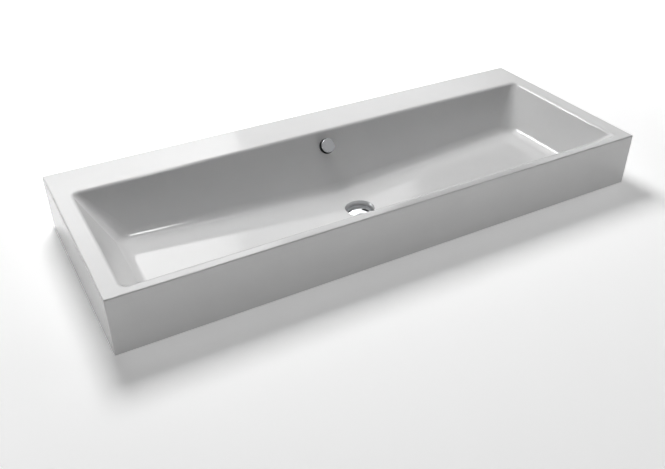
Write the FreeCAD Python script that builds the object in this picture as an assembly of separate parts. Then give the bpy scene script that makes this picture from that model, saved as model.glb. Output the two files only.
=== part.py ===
import FreeCAD, Part
import math
import os
from FreeCAD import Placement, Rotation, Vector

# Countertop wash basin of enamelled steel, with its overflow set and its push-button waste.
# Millimetres and degrees. X runs along the front to the right, Y to the back and Z up.
# The origin is the middle of the seat, the plane in which the skirt rests on the counter.

# Outer form of the basin
LENGTH = 1200.0
DEPTH = 460.0
HEIGHT = 120.0
STEEL = 3.0
OUTER_CORNER_R = 4.0
DECK_EDGE_R = 2.5
SEAT_FLANGE = 22.0

# Bowl: rim widths at deck level, lean of the walls from the vertical, and radii
END_RIM = 35.0
FRONT_RIM = 20.5
BACK_DECK = 96.5
LONG_WALL_LEAN = 35.0
END_WALL_LEAN = 33.0
LIP_R = 10.0
CORNER_RIM_R = 14.0
CORNER_FOOT_R = 44.0
COVE_R = 30.0

# Bowl floor: two planes that fall to a rounded valley across the middle
FLOOR_LOW_Z = 6.3
FLOOR_FALL = 2.6
VALLEY_R = 600.0

# Drain well, pressed down from the middle of the floor
WELL_R = 32.3
WELL_DEPTH = 17.3
WELL_BEND_R = 3.0
WELL_EDGE_R = 1.0
WASTE_HOLE_GAP = 2.0

# Fixing brackets inside the skirt, with weld nuts for M8 bolts
BRACKET_INSET = 100.0
BRACKET_WIDTH = 50.0
BRACKET_REACH = 46.0
BRACKET_RISE = 40.0
BRACKET_T = 4.0
BRACKET_BEND_R = 5.0
BRACKET_CORNER_R = 6.0
BRACKET_HOLE_R = 4.5
BRACKET_HOLE_REACH = 34.0
NUT_ACROSS_FLATS = 13.0
NUT_HEIGHT = 6.5
NUT_BORE_R = 3.4
NUT_BEVEL = 30.0

# Anti-drumming pads bonded under the floor
PAD_WIDTH = 140.0
PAD_T = 4.0
PAD_START = 70.0
PAD_END_GAP = 200.0
PAD_CORNER_R = 12.0
BOND_GAP = 0.1

# Overflow set, along an axis square to the back wall
OVERFLOW_DROP = 37.0
SLEEVE_R = 13.0
SLEEVE_WALL = 1.8
SLEEVE_LENGTH = 27.0
SLEEVE_FLANGE_R = 17.5
SLEEVE_FLANGE_T = 1.8
FACE_SEAL_T = 1.0
BACK_SEAL_T = 2.5
HOLE_GAP = 0.8
THREAD_GAP = 0.15
HUB_WALL = 1.6
HUB_FRONT = 2.0
HUB_LENGTH = 10.0
RIB_COUNT = 3
RIB_T = 2.0
COVER_R = 16.0
COVER_T = 5.0
COVER_FACE_OUT = 12.0
COVER_EDGE_R = 0.8
COVER_NECK_R = 6.8
COVER_STEM_R = 4.5
COVER_TIP = 2.0
CLIP_T = 1.2
CLIP_LENGTH = 6.0
CLIP_SLOT = 1.5
CLIP_SLOTS = 3
SLIDE_GAP = 0.3
SEAT_GAP = 0.1

# Overflow elbow behind the wall
ELBOW_WALL = 3.0
ELBOW_FLANGE_R = 19.5
ELBOW_FLANGE_T = 2.5
ELBOW_CLOSED_END = 4.0
ELBOW_EXTRA = 4.0
SPIGOT_BACK = 22.0
SPIGOT_WALL = 1.8
SPIGOT_SHOULDER_T = 3.0
SPIGOT_NECK = 2.0

# Ribbed overflow hose between the elbow and the collar
HOSE_BORE_R = 7.5
HOSE_FIT_GAP = 0.1
HOSE_ROOT_R = 8.8
HOSE_CREST_R = 10.6
CUFF_R = 9.6
CUFF_LENGTH = 24.0
HOSE_LEAD = 1.0
RIB_PITCH = 5.0
RIB_FLANK = 1.0
RIB_CREST = 1.5
CLAMP_T = 0.8
CLAMP_WIDTH = 9.0
CLAMP_BOX = 11.0
CLAMP_BOX_RISE = 5.5
CLAMP_SCREW_R = 3.2
CLAMP_SCREW_LENGTH = 15.0

# Waste: a flanged body with a pipe thread, its seals, the overflow collar and the nut
THREAD_R = 20.955
WASTE_WALL = 2.45
FLANGE_GAP = 1.0
FLANGE_T = 2.5
FLANGE_SEAL_T = 1.5
MOUTH_WIDTH = 2.0
MOUTH_DROP = 1.5
THREAD_SHOW = 2.0
RELIEF_WIDTH = 3.0
RELIEF_DEPTH = 0.8
OUTLET_LENGTH = 23.0
RING_SEAL_T = 2.0
RING_SEAL_WIDTH = 7.0
COLLAR_R = 30.0
COLLAR_HEIGHT = 22.0
COLLAR_WALL = 3.0
WINDOW_HEIGHT = 10.0
WINDOW_WIDTH = 14.0
WINDOW_COUNT = 4
WASHER_T = 1.5
LOCK_NUT_HEIGHT = 8.0
LOCK_NUT_ACROSS_FLATS = 54.0
BRIDGE_T = 6.0
BRIDGE_HUB_R = 7.0
ARM_T = 4.0
ARM_COUNT = 3

# Plug and push-button cartridge
PLUG_LIFT = 8.0
PLUG_PRESS = 1.5
CAP_GAP = 2.0
CAP_FLOAT = 2.0
CAP_RIM = 1.5
CAP_CROWN = 6.7
CAP_WALL = 2.0
CAP_HUB_R = 14.0
BOSS_R = 8.0
SEAL_T = 2.5
SEAL_SINK = 2.0
RETAINER_R = 12.0
RETAINER_T = 1.5
STEM_R = 3.0
STEM_GRIP = 6.0
PISTON_R = 5.3
PISTON_T = 3.0
CARTRIDGE_R = 8.0
CARTRIDGE_FLOOR = 1.5
CARTRIDGE_CAP_T = 2.5
CARTRIDGE_ROOM = 1.0
STUD_R = 3.0
STUD_END = 2.0
SPRING_WIRE_R = 0.6
SPRING_TURNS = 5
SPRING_LENGTH = 12.5

# Room by which a cutting solid runs past the face that it cuts, and how near counts as equal
OVERRUN = 5.0
NEAR = 0.01

# Steps in each turn at which the spring's gap to itself is measured
SPRING_STEPS = 24

# Places that follow from the sizes above
BOWL_BACK_Y = DEPTH / 2 - BACK_DECK
BOWL_FRONT_Y = FRONT_RIM - DEPTH / 2
DRAIN_Y = (BOWL_BACK_Y + BOWL_FRONT_Y) / 2
LONG_LEAN = math.radians(LONG_WALL_LEAN)
END_LEAN = math.radians(END_WALL_LEAN)
FALL = math.radians(FLOOR_FALL)
VALLEY_CENTRE_Z = FLOOR_LOW_Z + VALLEY_R
WELL_FLOOR_Z = FLOOR_LOW_Z - WELL_DEPTH
WELL_UNDER_Z = WELL_FLOOR_Z - STEEL
PAD_LENGTH = LENGTH / 2 - PAD_END_GAP - PAD_START

FLANGE_LOW_Z = WELL_FLOOR_Z + FLANGE_SEAL_T
FLANGE_TOP_Z = FLANGE_LOW_Z + FLANGE_T
FLANGE_R = WELL_R - FLANGE_GAP
THROAT_R = THREAD_R - WASTE_WALL
WASTE_HOLE_R = THREAD_R + WASTE_HOLE_GAP
COLLAR_TOP_Z = WELL_UNDER_Z - RING_SEAL_T
COLLAR_LOW_Z = COLLAR_TOP_Z - COLLAR_HEIGHT
COLLAR_MID_Z = (COLLAR_TOP_Z + COLLAR_LOW_Z) / 2
CHAMBER_R = COLLAR_R - COLLAR_WALL
WASHER_TOP_Z = COLLAR_LOW_Z - RING_SEAL_T
LOCK_NUT_TOP_Z = WASHER_TOP_Z - WASHER_T
LOCK_NUT_LOW_Z = LOCK_NUT_TOP_Z - LOCK_NUT_HEIGHT
RELIEF_TOP_Z = LOCK_NUT_LOW_Z - THREAD_SHOW
OUTLET_TOP_Z = RELIEF_TOP_Z - RELIEF_WIDTH
WASTE_END_Z = OUTLET_TOP_Z - OUTLET_LENGTH

CAP_R = WELL_R - CAP_GAP
CAP_LOW_Z = FLANGE_TOP_Z + CAP_FLOAT
CAP_RIM_Z = CAP_LOW_Z + CAP_RIM
CAP_TOP_Z = CAP_RIM_Z + CAP_CROWN
SEAL_TOP_Z = FLANGE_TOP_Z - SEAL_SINK
SEAL_LOW_Z = SEAL_TOP_Z - SEAL_T
RETAINER_LOW_Z = SEAL_LOW_Z - RETAINER_T
CARTRIDGE_TOP_Z = RETAINER_LOW_Z - PLUG_PRESS - CARTRIDGE_ROOM
HOUSING_TOP_Z = CARTRIDGE_TOP_Z - CARTRIDGE_CAP_T
PISTON_TOP_Z = HOUSING_TOP_Z - PLUG_LIFT - SLIDE_GAP
PISTON_LOW_Z = PISTON_TOP_Z - PISTON_T
SPRING_FOOT_Z = PISTON_LOW_Z - SPRING_LENGTH
CARTRIDGE_LOW_Z = SPRING_FOOT_Z - CARTRIDGE_FLOOR
BRIDGE_LOW_Z = CARTRIDGE_LOW_Z - BRIDGE_T
CARTRIDGE_BORE_R = PISTON_R + SLIDE_GAP
SPRING_R = CARTRIDGE_BORE_R - SLIDE_GAP - SPRING_WIRE_R

SLEEVE_BORE_R = SLEEVE_R - SLEEVE_WALL
SLEEVE_BACK = SLEEVE_LENGTH - FACE_SEAL_T
CLIP_R = COVER_STEM_R + CLIP_T
HUB_BORE_R = CLIP_R + SLIDE_GAP
HUB_R = HUB_BORE_R + HUB_WALL
WALL_HOLE_R = SLEEVE_R + HOLE_GAP
ELBOW_FRONT = STEEL + BACK_SEAL_T
ELBOW_BORE_R = SLEEVE_R + THREAD_GAP
ELBOW_R = ELBOW_BORE_R + ELBOW_WALL
ELBOW_BACK = SLEEVE_BACK + ELBOW_EXTRA
SPIGOT_R = HOSE_BORE_R - HOSE_FIT_GAP
SPIGOT_BORE_R = SPIGOT_R - SPIGOT_WALL

# The overflow's axis: its point on the bowl's wall and its direction into the bowl
OVERFLOW_POINT = Vector(
    0,
    BOWL_BACK_Y - OVERFLOW_DROP * math.sin(LONG_LEAN),
    HEIGHT - OVERFLOW_DROP * math.cos(LONG_LEAN),
)
OVERFLOW_AXIS = Vector(0, -math.cos(LONG_LEAN), math.sin(LONG_LEAN))
SPIGOT_TOP = OVERFLOW_POINT - OVERFLOW_AXIS * SPIGOT_BACK

# The hose's ends, where it meets the elbow's and the collar's shoulders
ELBOW_SHOULDER_Z = SPIGOT_TOP.z - ELBOW_R / math.cos(LONG_LEAN) - SPIGOT_NECK
HOSE_TOP_Z = ELBOW_SHOULDER_Z - SPIGOT_SHOULDER_T
COLLAR_SHOULDER_Y = DRAIN_Y + COLLAR_R + SPIGOT_NECK
HOSE_END_Y = COLLAR_SHOULDER_Y + SPIGOT_SHOULDER_T
HOSE_DROP = CUFF_LENGTH + HOSE_LEAD
HOSE_BEND_R = HOSE_TOP_Z - COLLAR_MID_Z - HOSE_DROP
HOSE_ARC = HOSE_BEND_R * math.pi / 2
HOSE_REACH = SPIGOT_TOP.y - HOSE_BEND_R - HOSE_END_Y
HOSE_LENGTH = HOSE_DROP + HOSE_ARC + HOSE_REACH

UP = Vector(0, 0, 1)
ACROSS = Vector(1, 0, 0)


def turned(profile):
    """A solid of revolution about Z, from the (radius, height) points of its outline."""
    points = [Vector(radius, 0, height) for radius, height in profile]
    outline = Part.makePolygon(points + points[:1])
    return Part.Face(outline).revolve(Vector(), UP, 360)


def ring(outer_r, inner_r, low, high):
    """A plain ring about Z."""
    return turned([(inner_r, low), (outer_r, low), (outer_r, high), (inner_r, high)])


def rod(radius, low, high):
    """A plain round bar about Z."""
    return Part.makeCylinder(radius, high - low, Vector(0, 0, low))


def hexagon(across_flats, low, high):
    """A six-sided bar about Z with its corners turned off."""
    flat_r = across_flats / 2
    corner_r = flat_r / math.cos(math.pi / 6)
    turns = [math.pi / 3 * i for i in range(6)]
    points = [Vector(corner_r * math.cos(a), corner_r * math.sin(a), low) for a in turns]
    bar = Part.Face(Part.makePolygon(points + points[:1])).extrude(UP * (high - low))
    bevel = (corner_r - flat_r) * math.tan(math.radians(NUT_BEVEL))
    waist = [(corner_r, low + bevel), (corner_r, high - bevel)]
    limit = turned([(0, low), (flat_r, low)] + waist + [(flat_r, high), (0, high)])
    return bar.common(limit)


def dome_arc(rim, top):
    """The arc of a dome in the XZ plane, from its rim to its top on the Z axis."""
    rise = top.z - rim.z
    dome_r = (rim.x**2 + rise**2) / (2 * rise)
    half_x = rim.x / 2
    middle = Vector(half_x, 0, top.z - dome_r + math.sqrt(dome_r**2 - half_x**2))
    return Part.Arc(rim, middle, top).toShape()


def spokes(count, width, inner_r, outer_r, low, high):
    """Flat arms about Z that reach from one radius to another."""
    arm = Part.makeBox(outer_r - inner_r, width, high - low, Vector(inner_r, -width / 2, low))
    return [arm.rotated(Vector(), UP, 360 * i / count) for i in range(count)]


def at_drain(shape):
    """Move a piece of the waste, made about Z, to the drain's axis."""
    return shape.translated(Vector(0, DRAIN_Y, 0))


def at_overflow(shape):
    """Move a piece of the overflow, made about Z from the wall into the bowl, to its axis."""
    turn = Rotation(UP, OVERFLOW_AXIS)
    placed = shape.copy()
    placed.Placement = Placement(OVERFLOW_POINT, turn)
    return placed


def on_plane(edges, z):
    """The edges that lie in the plane at one height."""
    return [e for e in edges if abs(e.BoundBox.ZMin - z) + abs(e.BoundBox.ZMax - z) < NEAR]


def inside_of(edges, half_length, half_depth):
    """The edges that keep within a rectangle about the Z axis."""
    picked = []
    for edge in edges:
        box = edge.BoundBox
        along = max(-box.XMin, box.XMax) < half_length
        across = max(-box.YMin, box.YMax) < half_depth
        if along and across:
            picked.append(edge)
    return picked


def bowl_corners(z, grow):
    """The four corners of the bowl's walls at one height, each wall moved out by grow."""
    drop = HEIGHT - z
    half = LENGTH / 2 - END_RIM - drop * math.tan(END_LEAN) + grow / math.cos(END_LEAN)
    slant = drop * math.tan(LONG_LEAN) - grow / math.cos(LONG_LEAN)
    front = BOWL_FRONT_Y + slant
    back = BOWL_BACK_Y - slant
    plan = [(-half, front), (half, front), (half, back), (-half, back)]
    return [Vector(x, y, z) for x, y in plan]


def tapered_block(grow):
    """A block between the four leaning walls of the bowl, from below its floor to above the deck."""
    low = bowl_corners(FLOOR_LOW_Z - grow - OVERRUN, grow)
    top = bowl_corners(HEIGHT + OVERRUN, grow)
    posts = [Part.makeLine(a, b) for a, b in zip(low, top)]
    low_edges = [Part.makeLine(low[i - 1], low[i]) for i in range(4)]
    top_edges = [Part.makeLine(top[i - 1], top[i]) for i in range(4)]
    faces = [Part.Face(Part.Wire(low_edges)), Part.Face(Part.Wire(top_edges))]
    for i in range(4):
        outline = Part.Wire([low_edges[i], posts[i], top_edges[i], posts[i - 1]])
        faces.append(Part.Face(outline))
    block = Part.Solid(Part.Shell(faces))
    if block.Volume < 0:
        block.reverse()
    return block


def valley_tangent(grow):
    """The point where the rounded valley runs into the right half of the floor."""
    radius = VALLEY_R + grow
    return Vector(radius * math.sin(FALL), 0, VALLEY_CENTRE_Z - radius * math.cos(FALL))


def below_floor(grow):
    """Everything under the V-shaped floor, moved down by grow, as one long prism."""
    right = valley_tangent(grow)
    left = Vector(-right.x, 0, right.z)
    middle = Vector(0, 0, VALLEY_CENTRE_Z - VALLEY_R - grow)
    far_x = LENGTH / 2
    far_z = right.z + (far_x - right.x) * math.tan(FALL)
    deep_z = FLOOR_LOW_Z - grow - 2 * OVERRUN
    far_right = Vector(far_x, 0, far_z)
    far_left = Vector(-far_x, 0, far_z)
    deep_right = Vector(far_x, 0, deep_z)
    deep_left = Vector(-far_x, 0, deep_z)
    edges = [
        Part.makeLine(deep_left, far_left),
        Part.makeLine(far_left, left),
        Part.Arc(left, middle, right).toShape(),
        Part.makeLine(right, far_right),
        Part.makeLine(far_right, deep_right),
        Part.makeLine(deep_right, deep_left),
    ]
    face = Part.Face(Part.Wire(edges))
    face.translate(Vector(0, -DEPTH / 2, 0))
    return face.extrude(Vector(0, DEPTH, 0))


def floor_outline(block):
    """The edges where the faces that look down meet the walls."""
    edges = []
    for face in block.Faces:
        u_low, u_high, v_low, v_high = face.ParameterRange
        normal = face.normalAt((u_low + u_high) / 2, (v_low + v_high) / 2)
        if normal.z < -math.cos(2 * FALL):
            edges.extend(face.Edges)
    return [e for e in edges if sum(1 for other in edges if other.isSame(e)) == 1]


def bowl_body(grow):
    """The inside of the bowl as a solid, every face moved out by grow."""
    block = tapered_block(grow).cut(below_floor(grow))
    half_height = (HEIGHT - FLOOR_LOW_Z) / 2
    corners = [e for e in block.Edges if e.BoundBox.ZLength > half_height]
    rounded = block.makeFillet(CORNER_FOOT_R + grow, CORNER_RIM_R + grow, corners)
    return rounded.makeFillet(COVE_R + grow, floor_outline(rounded))


def outer_block():
    """The basin's outer form, closed."""
    block = Part.makeBox(LENGTH, DEPTH, HEIGHT, Vector(-LENGTH / 2, -DEPTH / 2, 0))
    uprights = [e for e in block.Edges if e.BoundBox.ZLength > HEIGHT / 2]
    block = block.makeFillet(OUTER_CORNER_R, uprights)
    return block.makeFillet(DECK_EDGE_R, on_plane(block.Edges, HEIGHT))


def under_hollow():
    """The space under the deck and the bowl, open downwards inside the seat flange."""
    length = LENGTH - 2 * STEEL
    depth = DEPTH - 2 * STEEL
    under_deck = HEIGHT - STEEL
    room = Part.makeBox(length, depth, under_deck - STEEL, Vector(-length / 2, -depth / 2, STEEL))
    mouth_length = length - 2 * SEAT_FLANGE
    mouth_depth = depth - 2 * SEAT_FLANGE
    corner = Vector(-mouth_length / 2, -mouth_depth / 2, -OVERRUN)
    mouth = Part.makeBox(mouth_length, mouth_depth, STEEL + OVERRUN, corner)
    hollow = room.fuse(mouth).removeSplitter().cut(bowl_body(STEEL))
    deck_edges = on_plane(hollow.Edges, under_deck)
    lip = inside_of(deck_edges, length / 2 - STEEL, depth / 2 - STEEL)
    return hollow.makeFillet(LIP_R - STEEL, lip)


def basin_shell():
    """The pressed and enamelled steel shell: deck, bowl, drain well, skirt and seat flange."""
    shell = outer_block().cut(bowl_body(0)).cut(under_hollow())
    deck_edges = on_plane(shell.Edges, HEIGHT)
    lip = inside_of(deck_edges, LENGTH / 2 - 2 * DECK_EDGE_R, DEPTH / 2 - 2 * DECK_EDGE_R)
    shell = shell.makeFillet(LIP_R, lip)

    cup = rod(WELL_R + STEEL, WELL_UNDER_Z, FLOOR_LOW_Z - STEEL / 4)
    cup = cup.makeFillet(WELL_BEND_R + STEEL, on_plane(cup.Edges, WELL_UNDER_Z))
    well = rod(WELL_R, WELL_FLOOR_Z, HEIGHT)
    well = well.makeFillet(WELL_BEND_R, on_plane(well.Edges, WELL_FLOOR_Z))
    shell = shell.fuse(at_drain(cup)).cut(at_drain(well)).removeSplitter()
    well_faces = [f for f in shell.Faces if is_well_wall(f)]
    well_edges = [e for f in well_faces for e in f.Edges if e.BoundBox.XLength > WELL_EDGE_R]
    well_edges = [e for e in well_edges if e.BoundBox.ZMin > FLOOR_LOW_Z - NEAR]
    shell = shell.makeFillet(WELL_EDGE_R, well_edges)

    waste_hole = at_drain(rod(WASTE_HOLE_R, WELL_UNDER_Z - OVERRUN, FLOOR_LOW_Z))
    overflow_hole = at_overflow(rod(WALL_HOLE_R, -STEEL - OVERRUN, OVERRUN))
    return shell.cut(waste_hole).cut(overflow_hole)


def is_well_wall(face):
    """Whether a face is the round inner wall of the drain well."""
    surface = face.Surface
    return isinstance(surface, Part.Cylinder) and abs(surface.Radius - WELL_R) < NEAR


def fixing_bracket(side, end):
    """A bent angle on the seat flange, against the skirt; side and end are -1 or 1."""
    reach = BRACKET_REACH
    points = [
        Vector(0, 0, 0),
        Vector(0, reach, 0),
        Vector(0, reach, BRACKET_T),
        Vector(0, BRACKET_T, BRACKET_T),
        Vector(0, BRACKET_T, BRACKET_RISE),
        Vector(0, 0, BRACKET_RISE),
    ]
    angle = Part.Face(Part.makePolygon(points + points[:1])).extrude(ACROSS * BRACKET_WIDTH)
    bends = {(0, 0): BRACKET_BEND_R + BRACKET_T, (BRACKET_T, BRACKET_T): BRACKET_BEND_R}
    for (y, z), radius in bends.items():
        edges = [e for e in angle.Edges if is_along_x(e, y, z)]
        angle = angle.makeFillet(radius, edges)
    free_end = [e for e in angle.Edges if e.BoundBox.YMin > reach - NEAR]
    free_corners = [e for e in free_end if e.BoundBox.ZLength > BRACKET_T / 2]
    angle = angle.makeFillet(BRACKET_CORNER_R, free_corners)
    hole = rod(BRACKET_HOLE_R, -OVERRUN, BRACKET_T + OVERRUN)
    angle = angle.cut(hole.translated(Vector(BRACKET_WIDTH / 2, BRACKET_HOLE_REACH, 0)))
    angle.translate(Vector(-BRACKET_WIDTH / 2, STEEL - DEPTH / 2, STEEL))
    if side > 0:
        angle.rotate(Vector(), UP, 180)
    angle.translate(Vector(end * (LENGTH / 2 - BRACKET_INSET), 0, 0))
    return angle


def is_along_x(edge, y, z):
    """Whether an edge runs along X through one point of the YZ plane."""
    box = edge.BoundBox
    straight = box.YLength + box.ZLength < NEAR
    return straight and abs(box.YMin - y) + abs(box.ZMin - z) < NEAR


def bracket_nuts():
    """The four weld nuts, one on each bracket's hole."""
    low = STEEL + BRACKET_T
    nut = hexagon(NUT_ACROSS_FLATS, low, low + NUT_HEIGHT)
    nut = nut.cut(rod(NUT_BORE_R, low - OVERRUN, low + NUT_HEIGHT + OVERRUN))
    x = LENGTH / 2 - BRACKET_INSET
    y = DEPTH / 2 - STEEL - BRACKET_HOLE_REACH
    places = [Vector(i * x, j * y, 0) for i in (-1, 1) for j in (-1, 1)]
    return Part.makeCompound([nut.translated(place) for place in places])


def damping_pad(end):
    """A pad bonded under one half of the floor; end is -1 for the left and 1 for the right."""
    pad = Part.makeBox(PAD_LENGTH, PAD_WIDTH, PAD_T, Vector(PAD_START, -PAD_WIDTH / 2, -PAD_T))
    uprights = [e for e in pad.Edges if e.BoundBox.ZLength > PAD_T / 2]
    pad = pad.makeFillet(PAD_CORNER_R, uprights)
    pad.rotate(Vector(), Vector(0, 1, 0), -FLOOR_FALL)
    pad.translate(valley_tangent(STEEL + BOND_GAP) + Vector(0, DRAIN_Y, 0))
    return pad if end > 0 else pad.mirror(Vector(), ACROSS)


def overflow_cover():
    """The round cover with its neck and stem; its neck seats on the sleeve's hub."""
    back = COVER_FACE_OUT - COVER_T
    neck_low = SEAT_GAP - HUB_FRONT
    tip = -HUB_FRONT - HUB_LENGTH - COVER_TIP
    cover = turned(
        [
            (0, tip),
            (COVER_STEM_R, tip),
            (COVER_STEM_R, neck_low),
            (COVER_NECK_R, neck_low),
            (COVER_NECK_R, back),
            (COVER_R, back),
            (COVER_R, COVER_FACE_OUT),
            (0, COVER_FACE_OUT),
        ]
    )
    rims = on_plane(cover.Edges, back) + on_plane(cover.Edges, COVER_FACE_OUT)
    rims = [e for e in rims if e.BoundBox.XLength > 2 * COVER_R - NEAR]
    return at_overflow(cover.makeFillet(COVER_EDGE_R, rims))


def cover_clip():
    """The slotted grip ring near the tip of the cover's stem."""
    low = -HUB_FRONT - HUB_LENGTH + COVER_TIP
    high = low + CLIP_LENGTH
    clip = ring(CLIP_R, COVER_STEM_R, low, high)
    slot_in = COVER_STEM_R - CLIP_T
    slot_out = CLIP_R + CLIP_T
    slot_high = high - CLIP_T
    for slot in spokes(CLIP_SLOTS, CLIP_SLOT, slot_in, slot_out, low - CLIP_T, slot_high):
        clip = clip.cut(slot)
    return at_overflow(clip)


def overflow_sleeve():
    """The flanged sleeve through the wall; ribs carry a hub for the cover's stem."""
    flange_top = FACE_SEAL_T + SLEEVE_FLANGE_T
    sleeve = turned(
        [
            (SLEEVE_BORE_R, -SLEEVE_BACK),
            (SLEEVE_R, -SLEEVE_BACK),
            (SLEEVE_R, FACE_SEAL_T),
            (SLEEVE_FLANGE_R, FACE_SEAL_T),
            (SLEEVE_FLANGE_R, flange_top),
            (SLEEVE_BORE_R, flange_top),
        ]
    )
    low = -HUB_FRONT - HUB_LENGTH
    hub = ring(HUB_R, HUB_BORE_R, low, -HUB_FRONT)
    mid_hub_r = (HUB_R + HUB_BORE_R) / 2
    mid_sleeve_r = (SLEEVE_R + SLEEVE_BORE_R) / 2
    ribs = spokes(RIB_COUNT, RIB_T, mid_hub_r, mid_sleeve_r, low, -HUB_FRONT)
    return at_overflow(sleeve.fuse([hub] + ribs).removeSplitter())


def overflow_elbow():
    """The elbow that the sleeve screws into, with a spigot that points straight down."""
    flange_back = -ELBOW_FRONT - ELBOW_FLANGE_T
    closed = -ELBOW_BACK - ELBOW_CLOSED_END
    body = turned(
        [
            (0, closed),
            (ELBOW_R - ELBOW_WALL, closed),
            (ELBOW_R, closed + ELBOW_WALL),
            (ELBOW_R, flange_back),
            (ELBOW_FLANGE_R, flange_back),
            (ELBOW_FLANGE_R, -ELBOW_FRONT),
            (0, -ELBOW_FRONT),
        ]
    )
    spigot_end = HOSE_TOP_Z - CUFF_LENGTH + OVERRUN
    spigot = rod(SPIGOT_R, spigot_end, SPIGOT_TOP.z)
    shoulder = rod(CUFF_R, HOSE_TOP_Z, ELBOW_SHOULDER_Z)
    passage = rod(SPIGOT_BORE_R, spigot_end - OVERRUN, SPIGOT_TOP.z)
    along = Vector(0, SPIGOT_TOP.y, 0)
    elbow = at_overflow(body).fuse([spigot.translated(along), shoulder.translated(along)])
    bore = at_overflow(rod(ELBOW_BORE_R, -ELBOW_BACK, OVERRUN))
    return elbow.cut(bore).cut(passage.translated(along)).removeSplitter()


def hose_place(distance):
    """The place on the hose's path at a distance from its upper end, with Z along the hose."""
    bend_z = COLLAR_MID_Z + HOSE_BEND_R
    bend_y = SPIGOT_TOP.y - HOSE_BEND_R
    if distance <= HOSE_DROP:
        turn = 0.0
        point = Vector(0, SPIGOT_TOP.y, HOSE_TOP_Z - distance)
    elif distance <= HOSE_DROP + HOSE_ARC:
        turn = (distance - HOSE_DROP) / HOSE_BEND_R
        y = bend_y + HOSE_BEND_R * math.cos(turn)
        z = bend_z - HOSE_BEND_R * math.sin(turn)
        point = Vector(0, y, z)
    else:
        turn = math.pi / 2
        point = Vector(0, bend_y - (distance - HOSE_DROP - HOSE_ARC), COLLAR_MID_Z)
    return Placement(point, Rotation(ACROSS, 180 - math.degrees(turn)))


def hose_circle(distance, radius):
    """A circle about the hose's path, with a steady X axis."""
    circle = Part.Wire(Part.makeCircle(radius))
    circle.Placement = hose_place(distance)
    return circle


def hose_line():
    """The hose's path: a drop, a quarter bend and a run to the collar."""
    half = HOSE_DROP + HOSE_ARC / 2
    stops = [0, HOSE_DROP, half, HOSE_DROP + HOSE_ARC, HOSE_LENGTH]
    start, bend, middle, straight, end = [hose_place(s).Base for s in stops]
    arc = Part.Arc(bend, middle, straight).toShape()
    return Part.Wire([Part.makeLine(start, bend), arc, Part.makeLine(straight, end)])


def overflow_hose():
    """The ribbed hose: plain cuffs at both ends and ribs between them."""
    ribbed = HOSE_LENGTH - 2 * CUFF_LENGTH
    count = int(ribbed / RIB_PITCH)
    pitch = ribbed / count
    outline = [(0, CUFF_R), (CUFF_LENGTH, CUFF_R)]
    for i in range(count):
        middle = CUFF_LENGTH + (i + 0.5) * pitch
        half_crest = RIB_CREST / 2
        half_root = half_crest + RIB_FLANK
        outline.append((middle - half_root, HOSE_ROOT_R))
        outline.append((middle - half_crest, HOSE_CREST_R))
        outline.append((middle + half_crest, HOSE_CREST_R))
        outline.append((middle + half_root, HOSE_ROOT_R))
    outline += [(HOSE_LENGTH - CUFF_LENGTH, CUFF_R), (HOSE_LENGTH, CUFF_R)]
    skin = Part.makeLoft([hose_circle(s, r) for s, r in outline], True, True)
    bore = hose_line().makePipeShell([hose_circle(0, HOSE_BORE_R)], True, False)
    return skin.cut(bore)


def hose_clamp(distance):
    """A worm-drive band round one of the hose's cuffs."""
    inner_r = CUFF_R + SEAT_GAP
    outer_r = inner_r + CLAMP_T
    half = CLAMP_WIDTH / 2
    band = ring(outer_r, inner_r, -half, half)
    box_low = inner_r + CLAMP_T / 2
    box = Part.makeBox(CLAMP_BOX, CLAMP_BOX_RISE, CLAMP_WIDTH, Vector(-CLAMP_BOX / 2, box_low, -half))
    screw_y = box_low + CLAMP_BOX_RISE / 2
    start = Vector(-CLAMP_SCREW_LENGTH / 2, screw_y, 0)
    screw = Part.makeCylinder(CLAMP_SCREW_R, CLAMP_SCREW_LENGTH, start, ACROSS)
    saddle = rod(inner_r + CLAMP_T / 2, -CLAMP_WIDTH, CLAMP_WIDTH)
    clamp = band.fuse([box.cut(saddle), screw]).removeSplitter()
    clamp.Placement = hose_place(distance)
    return clamp


def waste_body():
    """The flanged and threaded waste with its bridge and the windows for the overflow's water."""
    relief_r = THREAD_R - RELIEF_DEPTH
    body = turned(
        [
            (THROAT_R, WASTE_END_Z),
            (THREAD_R, WASTE_END_Z),
            (THREAD_R, OUTLET_TOP_Z),
            (relief_r, OUTLET_TOP_Z),
            (relief_r, RELIEF_TOP_Z),
            (THREAD_R, RELIEF_TOP_Z),
            (THREAD_R, FLANGE_LOW_Z),
            (FLANGE_R, FLANGE_LOW_Z),
            (FLANGE_R, FLANGE_TOP_Z),
            (THROAT_R + MOUTH_WIDTH, FLANGE_TOP_Z),
            (THROAT_R, FLANGE_TOP_Z - MOUTH_DROP),
        ]
    )
    window_low = COLLAR_MID_Z - WINDOW_HEIGHT / 2
    window_high = COLLAR_MID_Z + WINDOW_HEIGHT / 2
    outer_r = THREAD_R + OVERRUN
    windows = spokes(WINDOW_COUNT, WINDOW_WIDTH, BRIDGE_HUB_R, outer_r, window_low, window_high)
    for window in windows:
        body = body.cut(window)
    hub = ring(BRIDGE_HUB_R, STUD_R + THREAD_GAP, BRIDGE_LOW_Z, CARTRIDGE_LOW_Z)
    hub_mid_r = (BRIDGE_HUB_R + STUD_R) / 2
    wall_mid_r = (THREAD_R + THROAT_R) / 2
    arms = spokes(ARM_COUNT, ARM_T, hub_mid_r, wall_mid_r, BRIDGE_LOW_Z, CARTRIDGE_LOW_Z)
    return at_drain(body.fuse([hub] + arms).removeSplitter())


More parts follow.
